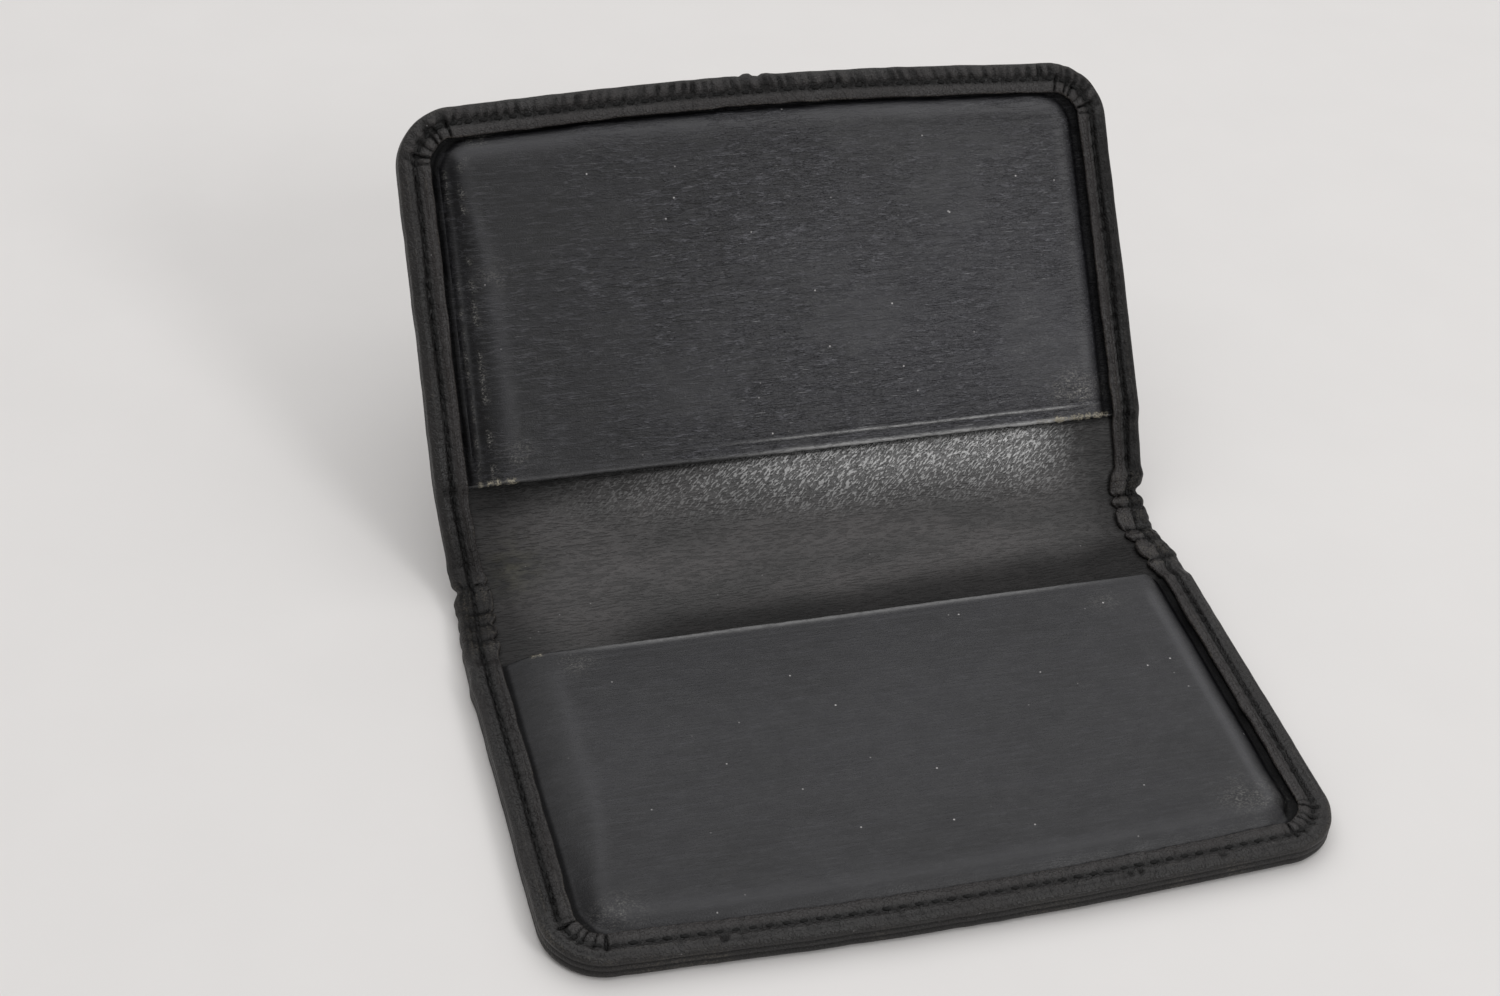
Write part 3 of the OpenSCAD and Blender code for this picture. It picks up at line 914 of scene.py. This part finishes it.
class Nodes:
    """A short way to build a material's nodes."""

    def __init__(self, name):
        self.material = bpy.data.materials.new(name)
        self.material.use_nodes = True
        self.tree = self.material.node_tree
        self.tree.nodes.clear()

    def put(self, value, socket):
        if isinstance(value, bpy.types.NodeSocket):
            self.tree.links.new(value, socket)
        else:
            socket.default_value = value

    def make(self, kind, settings=None, **inputs):
        made = self.tree.nodes.new("ShaderNode" + kind)
        for k, v in (settings or {}).items():
            setattr(made, k, v)
        for k, v in inputs.items():
            self.put(v, made.inputs[k.replace("_", " ")])
        return made

    def mark(self, name, output="Fac"):
        return self.make("Attribute", {"attribute_name": name}).outputs[output]

    def math(self, operation, a, b=0, clamp=False):
        made = self.make("Math", {"operation": operation, "use_clamp": clamp})
        self.put(a, made.inputs[0])
        self.put(b, made.inputs[1])
        return made.outputs[0]

    def times(self, a, b, clamp=False):
        return self.math("MULTIPLY", a, b, clamp)

    def place(self, scale, turn=0):
        """The flat place in millimetres, turned in its plane, times a scale along each axis."""
        at = self.mark("rest_at", "Vector")
        if turn:
            at = self.make("VectorRotate", {"rotation_type": "Z_AXIS"}, Vector=at, Angle=turn).outputs[0]
        made = self.make("VectorMath", {"operation": "MULTIPLY"})
        self.put(at, made.inputs[0])
        made.inputs[1].default_value = scale
        return made.outputs[0]

    def noise(self, scale, detail=3, rough=0.5, turn=0):
        at = self.place(scale, turn)
        return self.make("TexNoise", Vector=at, Scale=1, Detail=detail, Roughness=rough).outputs["Fac"]

    def specks(self, spacing, size, few):
        """Scattered dots of dust, in patches."""
        dots = self.rise(self.cells((spacing, spacing, spacing), "F1"), 0, size, 1, 0)
        patches = self.rise(self.noise((0.31, 0.31, 0.31), 2), few, few + 0.04)
        return self.times(dots, patches, True)

    def fold(self, value, width=0.16):
        """Sharp crests where a noise crosses its middle."""
        off = self.math("ABSOLUTE", self.math("SUBTRACT", value, 0.5))
        return self.rise(off, 0, width, 1, 0)

    def cells(self, scale, feature="DISTANCE_TO_EDGE"):
        made = self.make("TexVoronoi", {"feature": feature}, Vector=self.place(scale), Scale=1)
        return made.outputs["Distance"]

    def rise(self, value, low, high, to_low=0, to_high=1):
        made = self.make("MapRange", {"clamp": True, "interpolation_type": "SMOOTHSTEP"})
        for i, v in enumerate((value, low, high, to_low, to_high)):
            self.put(v, made.inputs[i])
        return made.outputs[0]

    def mix(self, share, a, b):
        made = self.make("Mix", {"data_type": "RGBA"})
        self.put(share, made.inputs["Factor"])
        self.put(a, made.inputs[6])
        self.put(b, made.inputs[7])
        return made.outputs[2]

    def coats(self, colour, *coats):
        """A colour with coats over it, each a share and its own colour."""
        for share, coat in coats:
            colour = self.mix(share, colour, coat)
        return colour

    def bumps(self, *layers):
        """Bumps over each other, each a height, its distance in millimetres and perhaps its strength."""
        under = {}
        for height, distance, *strength in layers:
            given = {"Strength": strength[0] if strength else 1} | under
            made = self.make("Bump", Distance=distance * MM, Height=height, **given)
            under = {"Normal": made.outputs["Normal"]}
        return under["Normal"]

    def finish(self, plain_gloss=0.4, **inputs):
        """The material. plain_gloss stands in for its gloss map in a model that can't hold one."""
        shader = self.make("BsdfPrincipled", Specular_IOR_Level=plain_gloss)
        for k, v in inputs.items():
            self.put(v, shader.inputs[k.replace("_", " ")])
        out = self.make("OutputMaterial")
        self.tree.links.new(shader.outputs[0], out.inputs[0])
        return self.material


def grey(level, tint=0):
    """A linear colour from a screen grey of 0 to 255. A positive tint is reddish, a negative one bluish."""
    linear = (level / 255) ** 2.2
    return (linear * (1 + max(tint, 0)), linear, linear * (1 - min(tint, 0)), 1)


def rubbed(n, colour, worn):
    """Adds painted shade where its mark is, and dusty wear where its own mark is. Returns the colour and the
    wear.
    """
    dusty = n.rise(n.noise((3.4, 4.4, 3.4), 5, 0.7), 0.46, 0.64)
    worn_share = n.times(n.times(n.mark("wear"), dusty), 0.7, True)
    # Painted shade: the colour goes towards near-black where shade falls in dips and beside raised parts
    colour = n.mix(n.times(n.mark("dark"), 0.85, True), colour, grey(7, 0.05))
    return n.mix(worn_share, colour, worn), worn_share


def cover_leather():
    """Outer leather, brownish black and worn along its crests. Its ridged face turns over into the hem."""
    n = Nodes("cover_leather")
    outside = n.mark("outside")
    ridges = n.rise(n.noise((0.95, 0.05, 0), 2.5, 0.55), 0.36, 0.62)
    pores = n.cells((1.9, 1.9, 1.9))
    fine = n.noise((5, 5, 5), 4)
    lines = n.fold(n.noise((0.9, 0.9, 0.9), 3, 0.55))
    soft = n.noise((0.14, 0.18, 0.14), 3)
    colour = n.coats(
        n.mix(n.rise(soft, 0.3, 0.7), grey(14, 0.3), grey(24, 0.3)),
        # A paler hem band and painted highlights, where the mark says
        (n.times(n.mark("pale"), 0.8), grey(45, 0.17)),
        (n.times(ridges, outside), grey(52, 0.08)),
        (n.rise(pores, 0, 0.12, 0.35, 0), grey(10)),
    )
    colour, worn_share = rubbed(n, colour, (0.085, 0.075, 0.06, 1))
    colour = n.mix(n.specks(0.55, 0.09, 0.6), colour, grey(130, 0.05))
    rough = n.math("ADD", n.rise(soft, 0.3, 0.7, 0.42, 0.56), n.times(worn_share, 0.15), True)
    high = n.bumps((lines, 0.05), (ridges, 0.22, outside), (n.rise(pores, 0, 0.22), 0.04), (fine, 0.03))
    gloss = n.rise(n.mark("dark"), 0, 1, 0.5, 0.24)
    return n.finish(Base_Color=colour, Roughness=rough, Normal=high, Specular_IOR_Level=gloss)


def crumbly(n, colour):
    """Adds the beige crumbs of the mouth's frayed edge."""
    bits = n.times(n.mark("raw"), n.rise(n.noise((3.2, 3.2, 3.2), 4, 0.7), 0.36, 0.6))
    crumbs = n.mix(n.noise((5, 5, 5), 4), (0.06, 0.052, 0.04, 1), (0.5, 0.46, 0.36, 1))
    return n.mix(n.rise(bits, 0.08, 0.4), colour, crumbs)


def pocket_leather():
    """Smooth leather: crackled where the mark says, with straight fine streaks elsewhere. Painted highlights
    lie on the crack crests and in fine flecks.
    """
    n = Nodes("pocket_leather")
    crackle, tone = n.mark("crackle"), n.mark("tone")
    crests = n.fold(n.noise((0.42, 1.9, 1), 3.5, 0.6))
    wrinkles = n.fold(n.noise((0.14, 1.05, 1), 4, 0.62), 0.05)
    streaks = n.noise((0.05, 2.4, 1), 4, 0.7)
    pores = n.cells((2.6, 3.4, 2.6))
    fine = n.noise((6, 8, 6), 4)
    soft = n.noise((0.07, 0.1, 0.1), 2)
    painted_wrinkle_highlights = n.times(wrinkles, n.rise(n.noise((0.3, 1.2, 0.5), 3, 0.6), 0.4, 0.62, 0.12, 0.85))
    painted_dash_highlights = n.times(n.rise(n.noise((0.3, 4.4, 1), 3, 0.65), 0.64, 0.7), crackle)
    colour = n.coats(
        # Painted light: the base is lighter where that mark is higher
        n.mix(tone, grey(18, -0.2), grey(44, -0.2)),
        (n.rise(soft, 0.3, 0.7), n.mix(tone, grey(25, -0.2), grey(50, -0.2))),
        (n.rise(streaks, 0.42, 0.62, 0, 0.22), grey(50, -0.2)),
        # Painted highlights on the crests, the wrinkles and the flecks
        (n.times(n.rise(crests, 0.45, 1, 0, 0.4), crackle), grey(58, -0.2)),
        (n.times(painted_wrinkle_highlights, crackle), grey(94, -0.12)),
        (n.times(painted_dash_highlights, 0.75), grey(125, -0.05)),
        # Painted highlights on the panel's rims and bevel
        (n.times(n.mark("pale"), 0.85), grey(64, -0.1)),
    )
    colour, worn_share = rubbed(n, colour, (0.36, 0.35, 0.325, 1))
    broken = n.rise(n.noise((1.1, 4, 4), 4, 0.6), 0.3, 0.6, 0.45, 0.9)
    dust = n.specks(0.5, 0.1, 0.57)
    # Painted highlight lines along the mouth's edge and crease, then dust specks
    colour = n.coats(colour, (n.times(n.mark("line"), broken), grey(176)), (dust, grey(200, 0.03)))
    colour = crumbly(n, colour)
    patchy = n.rise(n.noise((0.35, 0.5, 0.4), 4, 0.6), 0.3, 0.7, 0.37, 0.47)
    rough = n.math("ADD", patchy, n.times(worn_share, 0.15), True)
    high = n.bumps(
        (crests, 0.06, crackle),
        (wrinkles, 0.11, crackle),
        (streaks, 0.022),
        (n.rise(pores, 0, 0.22), 0.02, n.rise(crackle, 0, 1, 0.45, 1)),
        (fine, 0.012),
    )
    gloss = n.times(n.rise(tone, 0, 0.5, 0.36, 0.5), n.rise(n.mark("dark"), 0.1, 0.9, 1, 0.2))
    return n.finish(Base_Color=colour, Roughness=rough, Normal=high, Specular_IOR_Level=gloss)


def lining_leather():
    """Finer leather: leaning grain with painted highlight flecks where it is handled, fine wrinkles over the
    fold.
    """
    n = Nodes("lining_leather")
    shine, dark = n.mark("shine"), n.mark("dark")
    strokes = n.noise((1.45, 4.1, 2.8), 1.5, 0.5, turn=math.radians(-38))
    grain = n.noise((2.6, 3.4, 3), 3)
    wrinkles = n.fold(n.noise((0.28, 1.7, 1), 3, 0.6))
    soft = n.noise((0.06, 0.16, 0.1), 2)
    creases = n.times(n.rise(wrinkles, 0.1, 0.6, 0.45, 0), n.rise(shine, 0.1, 0.7, 1, 0))
    painted_glints = n.times(n.rise(strokes, 0.53, 0.6, 0, 0.95), shine)
    stain = n.times(n.mark("stain"), n.rise(n.noise((0.5, 0.9, 0.5), 4), 0.35, 0.6), True)
    colour = n.coats(
        n.mix(n.rise(soft, 0.3, 0.7), grey(60, 0.03), grey(73, 0.06)),
        # Painted shade in the creases away from the handled part, and where the mark says
        (creases, grey(34)),
        (n.times(dark, 0.8), grey(20)),
        # Painted highlight flecks on a near-black base where the leather is handled
        (n.times(shine, 0.8), grey(22)),
        (n.times(painted_glints, n.rise(dark, 0, 1, 1, 0)), grey(186)),
        (n.times(stain, 0.5), (0.12, 0.115, 0.085, 1)),
        (n.specks(0.5, 0.09, 0.61), grey(150, 0.03)),
    )
    patchy = n.rise(n.noise((0.3, 0.6, 0.4), 3, 0.6), 0.3, 0.7, -0.03, 0.04)
    rough = n.math("ADD", n.rise(shine, 0, 1, 0.46, 0.27), patchy)
    gloss = n.times(n.rise(shine, 0, 1, 0.38, 1), n.rise(dark, 0, 1, 1, 0.42))
    high = n.bumps(
        (wrinkles, 0.075, n.rise(shine, 0.1, 0.9, 1, 0.25)),
        (strokes, 0.18, n.rise(shine, 0, 0.6, 0.06, 1)),
        (grain, 0.03, n.rise(shine, 0, 0.8, 0.5, 0.9)),
    )
    return n.finish(Base_Color=colour, Roughness=rough, Normal=high, Specular_IOR_Level=gloss)


def thread_material():
    n = Nodes("thread_black")
    plies = n.noise((7, 7, 7), 3)
    colour, high = n.mix(plies, grey(6), grey(16)), n.bumps((plies, 0.05))
    return n.finish(Base_Color=colour, Roughness=0.7, Normal=high, Specular_IOR_Level=0.3)


def board_material():
    """Grey paperboard of the stiffening boards, which shows only where a piece is taken away."""
    n = Nodes("paperboard")
    place = n.make("NewGeometry").outputs["Position"]
    fibres = n.make("TexNoise", Vector=place, Scale=900, Detail=5, Roughness=0.7).outputs["Fac"]
    flecks = n.make("TexVoronoi", Vector=place, Scale=420).outputs["Distance"]
    colour = n.mix(fibres, (0.17, 0.15, 0.125, 1), (0.36, 0.33, 0.28, 1))
    colour = n.mix(n.rise(flecks, 0.02, 0.12, 0.5, 0), colour, (0.09, 0.08, 0.07, 1))
    return n.finish(Base_Color=colour, Roughness=0.85, Normal=n.bumps((fibres, 0.06)))


COVER_LEATHER = cover_leather()
POCKET_LEATHER = pocket_leather()
LINING_LEATHER = lining_leather()
THREAD = thread_material()
PAPERBOARD = board_material()

# ---- Pieces ----

COVER_MARKS = ("wear", "dark", "pale", "outside")
POCKET_MARKS = ("wear", "dark", "pale", "line", "raw", "crackle", "tone")
LINING_MARKS = ("stain", "shine", "dark")


def cross_fold(piece, side):
    """Bakes a piece's transform into its mesh. It works out the folded points at BLEND_L before the fold line
    and at the middle of the spine, but nothing blends the piece between them.
    """
    on_half, on_spine = fold_up(np.array([[0, BLEND_L, FOLD_Z], [0, START, FOLD_Z]]), side)
    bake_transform(piece)


def nodes_of(kind, side):
    """The frame's nodes that a piece stands for. The back piece takes the spine's node with it."""
    return [f"back_{kind}", f"spine_{kind}"] if side == "back" else [f"front_{kind}"]


for side in ("back", "front"):
    cover = make_object("cover_" + side, cover_sheet(side), COVER_LEATHER, COVER_MARKS)
    cross_fold(cover, side)
    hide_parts(*nodes_of("cover", side))

    lining = make_object("lining_" + side, lining_sheet(side), LINING_LEATHER, LINING_MARKS)
    cross_fold(lining, side)
    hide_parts(*nodes_of("lining", side))

    pocket = make_object("pocket_" + side, pocket_sheet(side), POCKET_LEATHER, POCKET_MARKS)
    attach(pocket, side + "_half")
    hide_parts(side + "_pocket")

    for face in ("inner", "outer"):
        thread = make_object(f"{face}_thread_{side}", thread_sheet(side, face), THREAD, sharp=80)
        cross_fold(thread, side)
        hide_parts(*nodes_of(face + "_thread", side))

    board = frame["nodes"][side + "_board"]
    board.data.materials.clear()
    board.data.materials.append(PAPERBOARD)

# ---- Floor, light and camera ----

scene = bpy.context.scene

# Just under the holder, in metres
FLOOR_Z = -0.00002
WORLD_LIGHT = 0.42
CAMERA_AT = (-0.09838, -0.21235, 0.23221)
CAMERA_DEGREES = (-19.6, 39.7, 6.1)
CAMERA_LENS = 59.16


def make_floor():
    """A pale floor, far wider than the view."""
    size, step = 2.4, 24
    grid = np.linspace(-size, size, step + 1)
    x, y = np.meshgrid(grid, grid)
    mesh = bpy.data.meshes.new("floor")
    points = np.stack([x.ravel(), y.ravel(), np.full(x.size, FLOOR_Z)], 1)
    index = np.arange(x.size).reshape(x.shape)
    faces = np.stack([index[:-1, :-1], index[:-1, 1:], index[1:, 1:], index[1:, :-1]], -1).reshape(-1, 4)
    mesh.from_pydata(points.tolist(), [], faces.tolist())
    n = Nodes("floor_paper")
    place = n.make("NewGeometry").outputs["Position"]
    fibres = n.make("TexNoise", Vector=place, Scale=60, Detail=3).outputs["Fac"]
    colour = n.mix(fibres, (0.76, 0.745, 0.735, 1), (0.79, 0.775, 0.765, 1))
    mesh.materials.append(n.finish(Base_Color=colour, Roughness=0.75, Specular_IOR_Level=0.2))
    made = bpy.data.objects.new("floor", mesh)
    scene.collection.objects.link(made)


def soft_light(name, towards, distance, size, power):
    """A square soft light that looks at the holder from the direction `towards`."""
    lamp = bpy.data.lights.new(name, "AREA")
    lamp.shape = "SQUARE"
    lamp.size = size
    lamp.energy = power
    made = bpy.data.objects.new(name, lamp)
    made.location = Vector(towards).normalized() * distance
    made.rotation_euler = (-Vector(towards)).to_track_quat("-Z", "Y").to_euler()
    scene.collection.objects.link(made)


def make_camera():
    """The camera at the photograph's viewing angle, in front of the holder and to its left."""
    azimuth, elevation, roll = (math.radians(angle) for angle in CAMERA_DEGREES)
    level = math.cos(elevation)
    back = Vector((math.sin(azimuth) * level, -math.cos(azimuth) * level, math.sin(elevation)))
    right = Vector((math.cos(azimuth), math.sin(azimuth), 0))
    up = back.cross(right)
    cam_x = right * math.cos(roll) + up * math.sin(roll)
    cam_y = up * math.cos(roll) - right * math.sin(roll)
    data = bpy.data.cameras.new("camera")
    data.lens, data.sensor_width = CAMERA_LENS, 36
    data.clip_start, data.clip_end = 0.01, 20
    made = bpy.data.objects.new("camera", data)
    turn = Matrix((cam_x, cam_y, back)).transposed().to_4x4()
    made.matrix_world = Matrix.Translation(Vector(CAMERA_AT)) @ turn
    scene.collection.objects.link(made)
    scene.camera = made


def make_world():
    """Weak light from all round."""
    world = bpy.data.worlds.new("studio")
    world.use_nodes = True
    background = world.node_tree.nodes["Background"]
    background.inputs[0].default_value = (1, 0.985, 0.975, 1)
    background.inputs[1].default_value = WORLD_LIGHT
    scene.world = world


make_floor()
soft_light("over", (0.07, 0.31, 1), 1, 1.6, 7.9)
soft_light("near_right", (0.42, -0.70, 0.62), 1, 0.26, 2.2)
make_world()
scene.view_settings.view_transform = "Standard"
make_camera()
